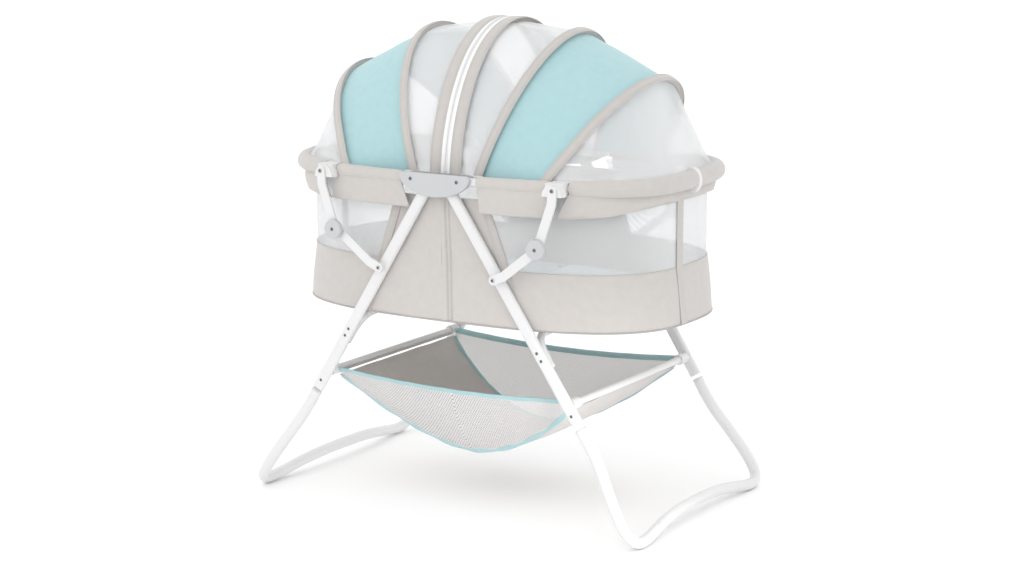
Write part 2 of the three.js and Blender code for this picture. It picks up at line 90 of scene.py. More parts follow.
EYE_R = 0.008
BOW_R = 0.0035
BOW_HALF_WIDTH = 0.226
BOW_BASE = 0.6225
CANOPY_FOOT = RAIL_Z + 0.004         # the lower edge of the canopy's fabric
CENTRE_BOW_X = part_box("bow_centre_right")[1].x - EYE_R
BOWS = {
    "centre": (CENTRE_BOW_X, 0.322, 0.0),
    "middle": (0.0565, 0.323, math.radians(19.6)),
    "outer": (0.1935, 0.264, math.radians(33.0)),
}
ZIP_HALF = 0.010                     # half the zip's width, between the two centre bands
BAND_HALF = 0.0125                   # half the width of a centre bow's band
BINDING_HALF = 0.0092                # and of the other bows' bindings
NET_THICK = 0.0006

BRACKET_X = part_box("rail_bracket_near_right")[0].x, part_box("rail_bracket_near_right")[1].x

mattress_low, mattress_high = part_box("mattress_right")
bar_low, bar_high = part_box("basket_bar_right")
BAR_X = (bar_low.x + bar_high.x) / 2
BAR_Z = (bar_low.z + bar_high.z) / 2
BAR_R = 0.007
SLING_END_Y = 0.210
SLING_LOW_Y = 0.140
SLING_LOW_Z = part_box("basket_sling")[0].z + 0.002

RAIL_PIVOT_X = 0.052
LEG_X = 0.024                        # the leg's pivot
LEG_Z = 0.645
LEG_SLOPE = 0.6444                   # how far a leg runs outward for each metre down
LEG_LEAN = 0.0328                    # and inward across the stand
LEG_HALF_THICK = 0.007
BRACE_TOP_X = 0.261
BRACE_FOOT = (0.130, 0.4805)
FOOT_TUBE_R = 0.011
CROSS_TUBE_R = 0.008


# ---- Camera, light and stage

CAMERA_PLACE = (2.3793, -3.8310, 1.2989)
CAMERA_ANGLES = (-11.157, 31.796, -0.227)       # tilt, turn and roll in degrees
CAMERA_LENS = 81.1


def make_camera():
    data = bpy.data.cameras.new("camera")
    data.sensor_width = 36.0
    data.lens = CAMERA_LENS
    camera = bpy.data.objects.new("camera", data)
    camera.location = CAMERA_PLACE
    tilt, turn, roll = (math.radians(angle) for angle in CAMERA_ANGLES)
    camera.rotation_mode = "QUATERNION"
    across = Vector((math.cos(turn), math.sin(turn), 0))
    look = Vector((-math.sin(turn) * math.cos(tilt), math.cos(turn) * math.cos(tilt), math.sin(tilt)))
    up = across.cross(look)
    right = across * math.cos(roll) + up * math.sin(roll)
    above = right.cross(look)
    camera.rotation_quaternion = Matrix((right, above, -look)).transposed().to_quaternion()
    bpy.context.scene.collection.objects.link(camera)
    bpy.context.scene.camera = camera


LIGHTS = (                           # name, place, aim, size, power and spread in degrees
    ("key", (-0.4, -3.4, 2.6), (0, 0, 0.5), 2.4, 13, 180),
    ("fill", (2.3, -2.1, 0.45), (0, 0, 0.5), 1.6, 2, 180),
    ("low", (1.1, -0.55, 0.13), (-0.15, 0, 0.16), 0.3, 0.3, 36),
)


def make_stage():
    world = bpy.data.worlds.new("studio")
    world.use_nodes = True
    background = world.node_tree.nodes["Background"]
    background.inputs["Color"].default_value = (1.0, 1.0, 1.0, 1)
    background.inputs["Strength"].default_value = 1.16
    bpy.context.scene.world = world
    bpy.context.scene.view_settings.view_transform = "Standard"

    for name, place, aim, size, power, spread in LIGHTS:
        data = bpy.data.lights.new(name, "AREA")
        data.size = size
        data.energy = power
        data.spread = math.radians(spread)
        lamp = bpy.data.objects.new(name, data)
        lamp.location = place
        lamp.visible_camera = False
        lamp.rotation_euler = (Vector(aim) - Vector(place)).to_track_quat("-Z", "Y").to_euler()
        bpy.context.scene.collection.objects.link(lamp)

    mesh = bpy.data.meshes.new("floor")
    corners = [(12 * a, 12 * b, 0) for a, b in ((-1, -1), (1, -1), (1, 1), (-1, 1))]
    mesh.from_pydata(corners, [], [(0, 1, 2, 3)])
    floor = bpy.data.objects.new("floor", mesh)
    bpy.context.scene.collection.objects.link(floor)
    paint = Paint("floor_white", (0.985, 0.985, 0.985), roughness=0.9)
    mesh.materials.append(paint.material)


# ---- Materials

class Paint:
    """A Principled material whose colour, roughness and relief can be driven by node patterns."""

    def __init__(self, name, colour, roughness=0.5, **constants):
        self.material = bpy.data.materials.new(name)
        self.material.use_nodes = True
        self.tree = self.material.node_tree
        self.shader = self.tree.nodes["Principled BSDF"]
        self.colour = colour
        self.shader.inputs["Base Color"].default_value = (*colour, 1)
        self.shader.inputs["Roughness"].default_value = roughness
        for key, value in constants.items():
            self.shader.inputs[key.replace("_", " ")].default_value = value
        coords = self.tree.nodes.new("ShaderNodeTexCoord")
        self.uv = coords.outputs["UV"]
        self.place = coords.outputs["Object"]

    def link(self, source, target):
        self.tree.links.new(source, target)

    def math(self, operation, *values):
        node = self.tree.nodes.new("ShaderNodeMath")
        node.operation = operation
        for socket, value in zip(node.inputs, values):
            if isinstance(value, (int, float)):
                socket.default_value = value
            else:
                self.link(value, socket)
        return node.outputs[0]

    def axes(self, source):
        node = self.tree.nodes.new("ShaderNodeSeparateXYZ")
        self.link(source, node.inputs[0])
        return node.outputs

    def wave(self, coordinate, pitch, shift=0.0):
        """A sine wave from -1 to 1 with that pitch in metres."""
        turned = self.math("MULTIPLY_ADD", coordinate, 2 * math.pi / pitch, shift)
        return self.math("SINE", turned)

    def noise(self, scale, detail=3.0, source=None):
        node = self.tree.nodes.new("ShaderNodeTexNoise")
        node.inputs["Scale"].default_value = scale
        node.inputs["Detail"].default_value = detail
        self.link(source or self.place, node.inputs["Vector"])
        return node.outputs[0]

    def remap(self, value, low, high, to_low, to_high):
        node = self.tree.nodes.new("ShaderNodeMapRange")
        for socket, number in zip(node.inputs[1:], (low, high, to_low, to_high)):
            socket.default_value = number
        self.link(value, node.inputs[0])
        return node.outputs[0]

    def shade(self, value, dark=0.9, light=1.04):
        """Drives the colour from dark to light of itself by a value from 0 to 1."""
        node = self.tree.nodes.new("ShaderNodeMix")
        node.data_type = "RGBA"
        node.inputs[6].default_value = (*(c * dark for c in self.colour), 1)
        node.inputs[7].default_value = (*(min(c * light, 1) for c in self.colour), 1)
        self.link(value, node.inputs[0])
        self.link(node.outputs[2], self.shader.inputs["Base Color"])

    def relief(self, height, distance, strength=1.0):
        node = self.tree.nodes.new("ShaderNodeBump")
        node.inputs["Distance"].default_value = distance
        node.inputs["Strength"].default_value = strength
        self.link(height, node.inputs["Height"])
        self.link(node.outputs[0], self.shader.inputs["Normal"])

    def rough(self, value):
        self.link(value, self.shader.inputs["Roughness"])


def woven(name, colour, pitch=0.0011, sheen=0.25, dark=0.93):
    """Plain-weave cloth: warp over weft as a product of two waves, with slight slubs and fading."""
    paint = Paint(name, colour, roughness=0.88, Sheen_Weight=sheen, Sheen_Roughness=0.5)
    u, v, _ = paint.axes(paint.uv)
    warp = paint.wave(u, pitch)
    weft = paint.wave(v, pitch)
    weave = paint.math("MULTIPLY", warp, weft)
    slub = paint.noise(60, source=paint.uv)
    fade = paint.noise(5, 2.0)
    tone = paint.math("MULTIPLY_ADD", weave, 0.14, slub)
    tone = paint.math("MULTIPLY_ADD", fade, 0.35, tone)
    paint.shade(paint.remap(tone, 0.2, 1.15, 0.0, 1.0), dark)
    paint.relief(paint.math("MULTIPLY_ADD", weave, 0.3, slub), 0.00015, 0.5)
    return paint.material


def netting(name, colour, pitch, solid, soft=0.25):
    """Knitted net: round holes on a diagonal lattice. solid is how much of the sheet is thread."""
    paint = Paint(name, colour, roughness=0.8, Sheen_Weight=0.15)
    u, v, _ = paint.axes(paint.uv)
    rising = paint.math("ADD", u, v)
    falling = paint.math("SUBTRACT", u, v)
    holes = paint.math("ADD", paint.wave(rising, pitch), paint.wave(falling, pitch))
    edge = 4 * solid - 2
    thread = paint.remap(holes, edge + soft, edge - soft, 0.0, 1.0)
    paint.link(thread, paint.shader.inputs["Alpha"])
    paint.shade(paint.noise(9, 2.0), 0.96, 1.0)
    return paint.material


def powder_coat(name, colour):
    paint = Paint(name, colour, roughness=0.32, Coat_Weight=0.35, Coat_Roughness=0.18)
    peel = paint.noise(420, 2.0)
    paint.shade(paint.noise(7, 2.0), 0.965, 1.0)
    paint.rough(paint.remap(paint.noise(38), 0.3, 0.7, 0.27, 0.40))
    paint.relief(peel, 0.00012, 0.5)
    return paint.material


def moulded(name, colour, roughness=0.42):
    paint = Paint(name, colour, roughness=roughness)
    grain = paint.noise(900, 2.0)
    paint.shade(paint.noise(14, 2.0), 0.96, 1.0)
    paint.rough(paint.remap(paint.noise(60), 0.3, 0.7, roughness - 0.06, roughness + 0.08))
    paint.relief(grain, 0.00010, 0.6)
    return paint.material


def screw_steel():
    paint = Paint("screw_steel", (0.20, 0.20, 0.21), roughness=0.3, Metallic=1.0)
    paint.shade(paint.noise(200, 2.0), 0.7, 1.3)
    paint.rough(paint.remap(paint.noise(350), 0.3, 0.7, 0.22, 0.45))
    return paint.material


def cord_thread(name, colour):
    """Twisted thread, such as piping or a row of stitches."""
    paint = Paint(name, colour, roughness=0.75, Sheen_Weight=0.2)
    u, v, _ = paint.axes(paint.uv)
    twist = paint.wave(paint.math("ADD", u, v), 0.0016)
    paint.shade(paint.remap(twist, -1, 1, 0, 1), 0.88, 1.04)
    paint.relief(twist, 0.0002, 0.5)
    return paint.material


GREY = (0.545, 0.518, 0.497)
AQUA = (0.385, 0.590, 0.615)
MATERIALS = {
    "grey_cloth": woven("grey_cloth", GREY),
    "grey_binding": woven("grey_binding", tuple(0.97 * c for c in GREY), 0.0014, 0.3, 0.9),
    "aqua_cloth": woven("aqua_cloth", AQUA),
    "aqua_binding": woven("aqua_binding", tuple(0.97 * c for c in AQUA), 0.0014, 0.3, 0.9),
    "pad_cloth": woven("pad_cloth", (0.66, 0.79, 0.84), 0.0012, 0.35),
    "zip_tape": woven("zip_tape", (0.87, 0.87, 0.88), 0.0009, 0.1),
    "canopy_net": netting("canopy_net", (0.97, 0.972, 0.98), 0.0020, 0.44, 1.2),
    "tub_net": netting("tub_net", (0.97, 0.972, 0.98), 0.0020, 0.40, 1.2),
    "basket_net": netting("basket_net", (0.78, 0.765, 0.765), 0.0058, 0.56),
    # The far basket net's finer pitch is its own, but its colour is painted lighter than the near net's
    # to offset the shade it hangs in: painted light.
    "fine_basket_net_painted_light": netting("fine_basket_net_painted_light", (0.93, 0.93, 0.93), 0.0036, 0.66),
    # The hub plate's darker grey is painted shade: the plate is coloured dark to stand in for the shade
    # it sits in.
    "plate_steel_painted_shade": powder_coat("plate_steel_painted_shade", (0.42, 0.42, 0.43)),
    "white_steel": powder_coat("white_steel", (0.73, 0.73, 0.735)),
    "white_plastic": moulded("white_plastic", (0.74, 0.74, 0.735)),
    "grey_plastic": moulded("grey_plastic", (0.53, 0.535, 0.55), 0.45),
    "screw_steel": screw_steel(),
    "piping": cord_thread("piping", tuple(0.78 * c for c in GREY)),
    "grey_thread": cord_thread("grey_thread", tuple(0.74 * c for c in GREY)),
}


# ---- Mesh helpers

def unit(vectors):
    return vectors / np.maximum(np.linalg.norm(vectors, axis=-1, keepdims=True), 1e-12)


def along(points):
    """The distance from the first point to each point of a line."""
    steps = np.linalg.norm(np.diff(points, axis=0), axis=1)
    return np.concatenate([[0.0], np.cumsum(steps)])


def evenly(points, count):
    """The same line with evenly spaced points."""
    distance = along(points)
    wanted = np.linspace(0, distance[-1], count)
    return sample(wanted, distance, points)


def sample(wanted, distance, values):
    """Rows of values, known at distances, read off at the wanted ones."""
    return np.stack([np.interp(wanted, distance, values[:, k]) for k in range(values.shape[1])], -1)


def smoothstep(value):
    value = np.clip(value, 0, 1)
    return value * value * (3 - 2 * value)


def make_object(name, points, faces, uvs, material, smooth=True):
    mesh = bpy.data.meshes.new(name)
    mesh.from_pydata([tuple(p) for p in points], [], faces)
    layer = mesh.uv_layers.new(name="UVMap")
    corners = np.array([i for face in faces for i in face])
    layer.data.foreach_set("uv", np.asarray(uvs, float)[corners].astype(np.float32).ravel())
    mesh.materials.append(MATERIALS[material])
    shape = bmesh.new()
    shape.from_mesh(mesh)
    bmesh.ops.recalc_face_normals(shape, faces=shape.faces)
    shape.to_mesh(mesh)
    shape.free()
    if smooth:
        mesh.shade_smooth()
        mesh.set_sharp_from_angle(angle=math.radians(50))
    obj = bpy.data.objects.new(name, mesh)
    bpy.context.scene.collection.objects.link(obj)
    return obj


def ripple(points, normals, depth, size, seed=0.0):
    """Moves points along their normals by smooth noise, as cloth that isn't quite taut."""
    flat = points.reshape(-1, 3)
    lift = [noise.noise(Vector(p / size) + Vector((seed, 0, 0))) * depth for p in flat]
    return points + normals * np.array(lift).reshape(points.shape[:-1] + (1,))


def grid_normals(points):
    du = np.gradient(points, axis=0)
    dv = np.gradient(points, axis=1)
    return unit(np.cross(du, dv))


def slab(name, points, thick, material, slack=0.0, slack_size=0.05):
    """A thin closed sheet through a grid of points, with half its thickness on each side."""
    points = np.asarray(points, float)
    normals = grid_normals(points)
    if slack:
        points = ripple(points, normals, slack, slack_size)
    rows, columns = points.shape[:2]
    layer = rows * columns
    verts = np.concatenate([(points + normals * side * thick / 2).reshape(-1, 3) for side in (1, -1)])

    def at(i, j, side):
        return side * layer + i * columns + j

    faces = []
    for i in range(rows - 1):
        for j in range(columns - 1):
            faces.append((at(i, j, 0), at(i + 1, j, 0), at(i + 1, j + 1, 0), at(i, j + 1, 0)))
            faces.append((at(i, j, 1), at(i, j + 1, 1), at(i + 1, j + 1, 1), at(i + 1, j, 1)))
    for i in range(rows - 1):
        for j in (0, columns - 1):
            faces.append((at(i, j, 0), at(i, j, 1), at(i + 1, j, 1), at(i + 1, j, 0)))
    for j in range(columns - 1):
        for i in (0, rows - 1):
            faces.append((at(i, j, 0), at(i, j + 1, 0), at(i, j + 1, 1), at(i, j, 1)))
    across = np.linalg.norm(np.diff(points, axis=0), axis=2).mean(1)
    down = np.linalg.norm(np.diff(points, axis=1), axis=2).mean(0)
    u = np.concatenate([[0], np.cumsum(across)])
    v = np.concatenate([[0], np.cumsum(down)])
    uv = np.stack(np.meshgrid(u, v, indexing="ij"), -1).reshape(-1, 2)
    return make_object(name, verts, faces, np.concatenate([uv, uv]), material)


def ring_faces(rings, around, first=0):
    """Quads from each ring of points to the next. first is the index of the first point."""
    faces = []
    for a in range(first, first + (rings - 1) * around, around):
        b = a + around
        for k in range(around):
            n = (k + 1) % around
            faces.append((a + k, a + n, b + n, b + k))
    return faces


def sweep(name, path, side, up, profile, material, smooth=True):
    """A closed bar along path. profile(share) gives its outline, as (along side, along up) pairs."""
    path = np.asarray(path, float)
    count = len(path)
    rings = []
    for k in range(count):
        outline = np.asarray(profile(k / (count - 1)), float)
        rings.append(path[k] + outline[:, :1] * side[k] + outline[:, 1:] * up[k])
    rings = np.array(rings)
    around = rings.shape[1]
    faces = ring_faces(count, around)
    faces.append(tuple(range(around)))
    faces.append(tuple((count - 1) * around + j for j in range(around)))
    v = along(path)
    loop = along(np.concatenate([rings[0], rings[0][:1]]))[:around]
    uv = np.stack(np.meshgrid(v, loop, indexing="ij"), -1).reshape(-1, 2)
    return make_object(name, rings.reshape(-1, 3), faces, uv, material, smooth)


def circle(radius, count=12):
    angle = np.linspace(0, 2 * math.pi, count, endpoint=False)
    return np.stack([radius * np.cos(angle), radius * np.sin(angle)], -1)


def bead(name, path, radius, material, count=8):
    """A round cord along a path."""
    path = np.asarray(path, float)
    tangent = unit(np.gradient(path, axis=0))
    start = np.array([0.0, 0, 1]) if abs(tangent[0][2]) < 0.9 else np.array([1.0, 0, 0])
    side, up, previous = [], [], np.cross(tangent[0], start)
    for t in tangent:
        across = unit(previous - t * np.dot(previous, t))
        side.append(across)
        up.append(np.cross(across, t))
        previous = across
    outline = circle(radius, count)
    return sweep(name, path, np.array(side), np.array(up), lambda share: outline, material)


def stitches(name, rows, material, pitch=0.0034, length=0.0023, width=0.0006):
    """Rows of raised stitches. Each row is (points, surface normals)."""
    verts, faces, uvs = [], [], []
    for points, normals in rows:
        distance = along(points)
        count = max(int(distance[-1] / pitch), 2)
        places = (np.arange(count) + 0.5) * distance[-1] / count
        centre = sample(places, distance, points)
        tangent = unit(sample(places + 1e-4, distance, points) - sample(places - 1e-4, distance, points))
        normal = unit(sample(places, distance, normals))
        side = np.cross(tangent, normal)
        for c, t, n, s in zip(centre, tangent, normal, side):
            base = len(verts)
            verts += [c - t * length / 2, c + s * width, c + t * length / 2, c - s * width,
                      c + n * width, c - n * width]
            for a, b in ((0, 1), (1, 2), (2, 3), (3, 0)):
                faces.append((base + a, base + b, base + 4))
                faces.append((base + b, base + a, base + 5))
            uvs += [(0, 0), (width, 0), (length, 0), (0, width), (0, width), (width, width)]
    return make_object(name, verts, faces, uvs, material, smooth=False)


def dress(piece, body, slot, *stands_for):
    """The piece rides on a body and stands for the CAD nodes named, which are hidden. slot is not used.
    """
    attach(piece, body)
    if stands_for:
        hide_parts(*stands_for)
    return piece


def flatten(piece):
    """Gives the piece its own copy of its mesh."""
    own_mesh(piece)


# ---- Ovals

class Oval:
    """The right half of a superellipse, from the near side round the end to the far side."""

    def __init__(self, half_length, half_width, power):
        angle = np.linspace(-math.pi / 2, math.pi / 2, 4001)
        x = half_length * np.abs(np.cos(angle)) ** (2 / power)
        y = np.sign(np.sin(angle)) * half_width * np.abs(np.sin(angle)) ** (2 / power)
        self.points = np.stack([x, y], -1)
        self.distance = along(self.points)
        self.length = self.distance[-1]

    def at(self, distance):
        return sample(distance, self.distance, self.points)

    def out(self, distance):
        """The outward direction at a distance along the oval."""
        step = 2e-3
        ahead = self.at(np.minimum(distance + step, self.length))
        behind = self.at(np.maximum(distance - step, 0))
        tangent = unit(ahead - behind)
        return np.stack([tangent[..., 1], -tangent[..., 0]], -1)

    def reach(self, x):
        """How far along the near side x is."""
        half = len(self.points) // 2
        return np.interp(x, self.points[:half, 0], self.distance[:half])


RAIL = Oval(RAIL_A, RAIL_B, RAIL_POWER)
TUB = Oval(TUB_A, TUB_B, TUB_POWER)


def on_oval(oval, distance, z, sign, out=0.0, scale=(1.0, 1.0)):
    """Points on an oval at heights z, pushed out, at the left end when sign is -1."""
    level = oval.at(distance) * np.array(scale) + oval.out(distance) * np.asarray(out)[..., None]
    return np.stack([sign * level[..., 0], level[..., 1], np.broadcast_to(z, level.shape[:-1])], -1)


def oval_out(oval, distance, sign):
    level = oval.out(distance)
    return np.stack([sign * level[..., 0], level[..., 1], np.zeros(level.shape[:-1])], -1)


# ---- Canopy

def bow_line(bow, sign, count, foot=CANOPY_FOOT, shift=0.0):
    """The centre of a bow from its near foot to its far foot, or a line beside it."""
    x, height, tilt = BOWS[bow]
    first = math.asin((foot - BOW_BASE) / (height * math.cos(tilt)))
    angle = np.linspace(first, math.pi - first, 400)
    rise = height * np.sin(angle)
    line = np.stack([
        sign * (x + shift * math.cos(tilt) + rise * math.sin(tilt)),
        -BOW_HALF_WIDTH * np.cos(angle),
        BOW_BASE + rise * math.cos(tilt) - shift * math.sin(tilt),
    ], -1)
    return flare(evenly(line, count))


def flare(points):
    """Draws the canopy's lower edge out to the rail's cover, and tucks it in behind the hub."""
    past_hub = smoothstep((np.abs(points[..., 0]) - 0.085) / 0.05)
    spread = smoothstep((RAIL_Z + 0.075 - points[..., 2]) / 0.075) * (0.013 * past_hub - 0.002)
    points = points.copy()
    points[..., 1] += np.sign(points[..., 1]) * spread
    return points


def bow_frame(bow, sign, line):
    """The direction across a bow, away from the middle, and the direction out of the canopy."""
    tilt = BOWS[bow][2]
    across = np.array([sign * math.cos(tilt), 0, -math.sin(tilt)])
    out = unit(np.cross(across, unit(np.gradient(line, axis=0)))) * sign
    return np.broadcast_to(across, line.shape), out


def sleeve_profile(half, rod, over=0.0050):
    """A bow's fabric sleeve: nearly flat outside, with a pocket inside for the bow, which is at rod."""
    a = np.linspace(-half, half, 25)
    outer = over + 0.0012 * np.cos(a / half * math.pi / 2)
    hang = np.exp(-((a - rod) / 0.0056) ** 4)
    inner = (over - 0.0014) - hang * (over - 0.0014 + BOW_R + 0.0012)
    return np.concatenate([np.stack([a, outer], -1), np.stack([a, inner], -1)[::-1]])


def make_binding(name, bow, sign, body, half, shift=0.0):
    line = bow_line(bow, sign, 97, shift=shift)
    across, out = bow_frame(bow, sign, line)
    outline = sleeve_profile(half, -shift)
    band = sweep(name, line, across, out, lambda share: outline, "grey_binding")
    dress(band, body, "grey_fabric")
    rows = []
    for side in (-1, 1):
        for inset in (0.0018, 0.0044):
            reach = side * (half - inset)
            lift = 0.0050 + 0.0012 * math.cos(reach / half * math.pi / 2)
            rows.append((line + across * reach + out * lift, out))
    thread = stitches(name + "_stitching", rows, "grey_thread")
    dress(thread, body, "grey_fabric")


def between(bow_a, bow_b, sign, rows, columns, lift, sag, shift_a=0.0):
    """Fabric drawn tight from one bow to the next, lifted off the bows along its own normal."""
    line_a = bow_line(bow_a, sign, columns, shift=shift_a)
    line_b = bow_line(bow_b, sign, columns)
    share = np.linspace(0, 1, rows)[:, None, None]
    points = line_a * (1 - share) + line_b * share
    normals = grid_normals(points) * -sign
    arch = np.sin(np.linspace(0, math.pi, columns))[None, :, None]
    return points + normals * (lift - sag * 4 * share * (1 - share) * arch)


TOOTH_CORNERS = [(a, b, h) for h in (-1, 1) for a, b in ((-1, -1), (1, -1), (1, 1), (-1, 1))]


def make_zip(end, sign):
    """Half of the zip that joins the canopy's two halves: its tape and a row of teeth."""
    x = BOWS["centre"][0]
    body = f"bow_centre_{end}"
    middle = (ZIP_HALF + 0.0016) / 2 + 0.0004
    line = bow_line("centre", sign, 97, shift=middle - x)
    across, out = bow_frame("centre", sign, line)
    half = (ZIP_HALF + 0.003) / 2 - 0.0008
    tape_outline = [(-half, 0.0034), (-half, 0.0044), (0, 0.0047),
                    (half, 0.0044), (half, 0.0034), (0, 0.0037)]
    tape = sweep(f"zip_tape_{end}", line, across, out, lambda share: tape_outline, "zip_tape")
    dress(tape, body, "white_plastic")
    edge = bow_line("centre", sign, 97, shift=0.0022 - x)
    across, out = bow_frame("centre", sign, edge)
    row = edge + out * 0.0050
    verts, faces, uvs = [], [], []
    distance = along(row)
    pitch = 0.0036
    for k in range(int(distance[-1] / pitch)):
        place = (k + 0.25 + 0.5 * (sign > 0)) * pitch
        c = sample(place, distance, row)
        t = unit(sample(place + 1e-3, distance, row) - c)
        n = unit(sample(place, distance, out))
        s = across[0]
        base = len(verts)
        for a, b, h in TOOTH_CORNERS:
            narrow = 0.75 if h > 0 else 1.0
            verts.append(c + s * a * 0.0021 * narrow + t * b * 0.0008 * narrow + n * h * 0.0009)
            uvs.append((a * 0.002, b * 0.001))
        for quad in ((0, 3, 2, 1), (4, 5, 6, 7), (0, 1, 5, 4), (1, 2, 6, 5), (2, 3, 7, 6), (3, 0, 4, 7)):
            faces.append(tuple(base + q for q in quad))
    teeth = make_object(f"zip_teeth_{end}", verts, faces, uvs, "white_plastic", smooth=False)
    dress(teeth, body, "white_plastic")


def make_canopy(end, sign):
    centre_x = BOWS["centre"][0]
    make_binding(f"canopy_band_{end}", "centre", sign, f"bow_centre_{end}", BAND_HALF,
                 shift=ZIP_HALF + BAND_HALF - centre_x)
    make_zip(end, sign)
    make_binding(f"middle_binding_{end}", "middle", sign, f"bow_middle_{end}", BINDING_HALF)
    make_binding(f"outer_binding_{end}", "outer", sign, f"rail_{end}", BINDING_HALF)

    grid = between("centre", "middle", sign, 9, 49, 0.0040, 0.002, shift_a=ZIP_HALF + 0.015 - centre_x)
    window = slab(f"canopy_net_{end}", grid, NET_THICK, "canopy_net")
    dress(window, f"bow_middle_{end}", "net_fabric", f"canopy_window_{end}")
    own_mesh(window)

    grid = between("middle", "outer", sign, 13, 65, 0.0042, 0.002)
    panel = slab(f"canopy_cover_{end}", grid, 0.0010, "aqua_cloth", slack=0.0012)
    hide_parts(f"canopy_panel_{end}")
    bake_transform(panel)

    columns = 65
    on_bow = bow_line("outer", sign, columns)
    start = RAIL.reach(0.226)
    distance = np.linspace(start, RAIL.length - start, columns)
    on_rail = on_oval(RAIL, distance, RAIL_Z + 0.012, sign, out=-0.008)
    share = np.linspace(0, 1, 11)[:, None, None]
    grid = on_bow * (1 - share) + on_rail * share
    lift = grid_normals(grid) * -sign
    grid = grid + lift * 0.0042 * (1 - smoothstep((share - 0.9) / 0.1))
    net = slab(f"end_net_{end}", grid, NET_THICK, "canopy_net")
    dress(net, f"rail_{end}", "net_fabric", f"canopy_end_net_{end}")


# ---- Rail cover

# Each pair is a place along the bassinet and the value there: the cover is slim by the hub and
# full round the ends, and the skirt tucks in under the rail at the ends.
COVER_RADIUS = ((0.08, 0.0118), (0.24, 0.0130), (0.33, 0.0158), (0.40, 0.0172))
SKIRT_DROP = ((0.05, 0.055), (0.27, 0.054), (0.34, 0.050), (0.405, 0.037))
SKIRT_OUT = ((0.08, 0.0052), (0.13, 0.0088), (0.27, 0.0085), (0.34, 0.002), (0.405, -0.009))
SKIRT_BELLY = ((0.10, 0.0006), (0.27, 0.002), (0.35, 0.005), (0.405, 0.003))


def read_off(table, x):
    places, values = zip(*table)
    return np.interp(x, places, values)


def make_cover(name, end, sign, first, last):
    """The padded sleeve round a stretch of the rail, between two distances along it."""
    count = max(int((last - first) / 0.004), 12)
    distance = np.linspace(first, last, count)
    path = on_oval(RAIL, distance, RAIL_Z, sign)
    side = oval_out(RAIL, distance, sign)
    up = np.broadcast_to(np.array([0.0, 0, 1]), side.shape)
    x = RAIL.at(distance)[:, 0]
    angles = np.linspace(0, 2 * math.pi, 24, endpoint=False)

    def outline(share):
        k = int(round(share * (count - 1)))
        radius = read_off(COVER_RADIUS, x[k]) * (1 - 0.10 * math.exp(-((path[k][1] / 0.0075) ** 4)))
        end_round = min(k, count - 1 - k)
        radius *= 0.90 + 0.10 * min(end_round / 2, 1)
        ring = []
        for angle in angles:
            place = path[k] + np.array([math.cos(angle), math.sin(angle), 0]) * 0.02
            bump = 1 + 0.035 * noise.noise(Vector(place) * 26)
            ring.append((radius * bump * math.cos(angle), radius * bump * 1.02 * math.sin(angle)))
        return ring

    cover = sweep(name, path, side, up, outline, "grey_cloth")
    dress(cover, f"rail_{end}", "grey_fabric")


def make_skirt(name, end, sign, first, last, low_first, low_last):
    """The cloth that hangs from the rail's cover. Its ends slant."""
    columns = max(int((last - first) / 0.008), 12)
    v = np.linspace(0, 1, 11)
    u = np.linspace(0, 1, columns)
    starts = first + (low_first - first) * v
    ends = last + (low_last - last) * v
    distance = starts[None, :] * (1 - u[:, None]) + ends[None, :] * u[:, None]
    x = RAIL.at(distance)[..., 0]
    top = RAIL_Z - 0.6 * read_off(COVER_RADIUS, x)
    bottom = RAIL_Z - read_off(SKIRT_DROP, x)
    z = top + (bottom - top) * v[None, :]
    out = read_off(SKIRT_OUT, x) + read_off(SKIRT_BELLY, x) * np.sin(v[None, :] * math.pi)
    grid = on_oval(RAIL, distance, z, sign, out=out)
    piece = slab(name, grid, 0.0022, "grey_cloth", slack=0.0020, slack_size=0.045)
    dress(piece, f"rail_{end}", "grey_fabric")
    hem = bead(name + "_hem", grid[:, -1], 0.0016, "grey_binding")
    dress(hem, f"rail_{end}", "grey_fabric")
    for part in (piece, hem):
        flatten(part)


def make_rail_cover(end, sign):
    """Three stretches of padded cover and skirt: the brackets' clamps stand between them."""
    hub_top, hub_low = (0.090, 0.097) if end == "right" else (0.080, 0.063)
    near = RAIL.reach(hub_top), RAIL.reach(BRACKET_X[0] + 0.004)
    middle = RAIL.reach(BRACKET_X[1] - 0.0050)
    whole = RAIL.length
    make_cover(f"rail_cover_near_{end}", end, sign, *near)
    make_cover(f"rail_cover_end_{end}", end, sign, middle, whole - middle)
    make_cover(f"rail_cover_far_{end}", end, sign, whole - near[1], whole - near[0])
    low = RAIL.reach(hub_low), RAIL.reach(BRACKET_X[0] + 0.016)
    end_low = RAIL.reach(BRACKET_X[0] + 0.020)
    make_skirt(f"rail_skirt_near_{end}", end, sign, *near, *low)
    make_skirt(f"rail_skirt_end_{end}", end, sign, middle, whole - middle, end_low, whole - end_low)
    make_skirt(f"rail_skirt_far_{end}", end, sign, whole - near[1], whole - near[0],
               whole - low[1], whole - low[0])


# ---- Tub

def tub_scale(z):
    """The tub's outline at a height, as shares of its outline at the bottom."""
    share = np.clip((z - TUB_LOW) / (BAND_TOP - TUB_LOW), 0, 1)
    return 1 - share * BAND_TAPER[0] / TUB_A, 1 - share * BAND_TAPER[1] / TUB_B


def seam_x(z):
    share = (z - TUB_LOW) / (TUB_RIM - TUB_LOW)
    return SEAM_LOW_X + (SEAM_RIM_X - SEAM_LOW_X) * share


def up_wall(heights, sign, places, out=0.0):
    """A grid up the tub's wall. places(height, scale) gives distances along its outline there."""
    columns = []
    for height, push in zip(heights, np.broadcast_to(out, len(heights))):
        scale = tub_scale(height)
        columns.append(on_oval(TUB, places(height, scale), height, sign, out=push, scale=scale))
    return np.stack(columns, 1)


def end_wall(heights, sign, rows, out=0.0):
    """The wall round one end of the tub between its two slanted seams."""
    def places(height, scale):
        first = TUB.reach(seam_x(height) / scale[0])
        return first + (TUB.length - 2 * first) * np.linspace(0, 1, rows)

    return up_wall(heights, sign, places, out)


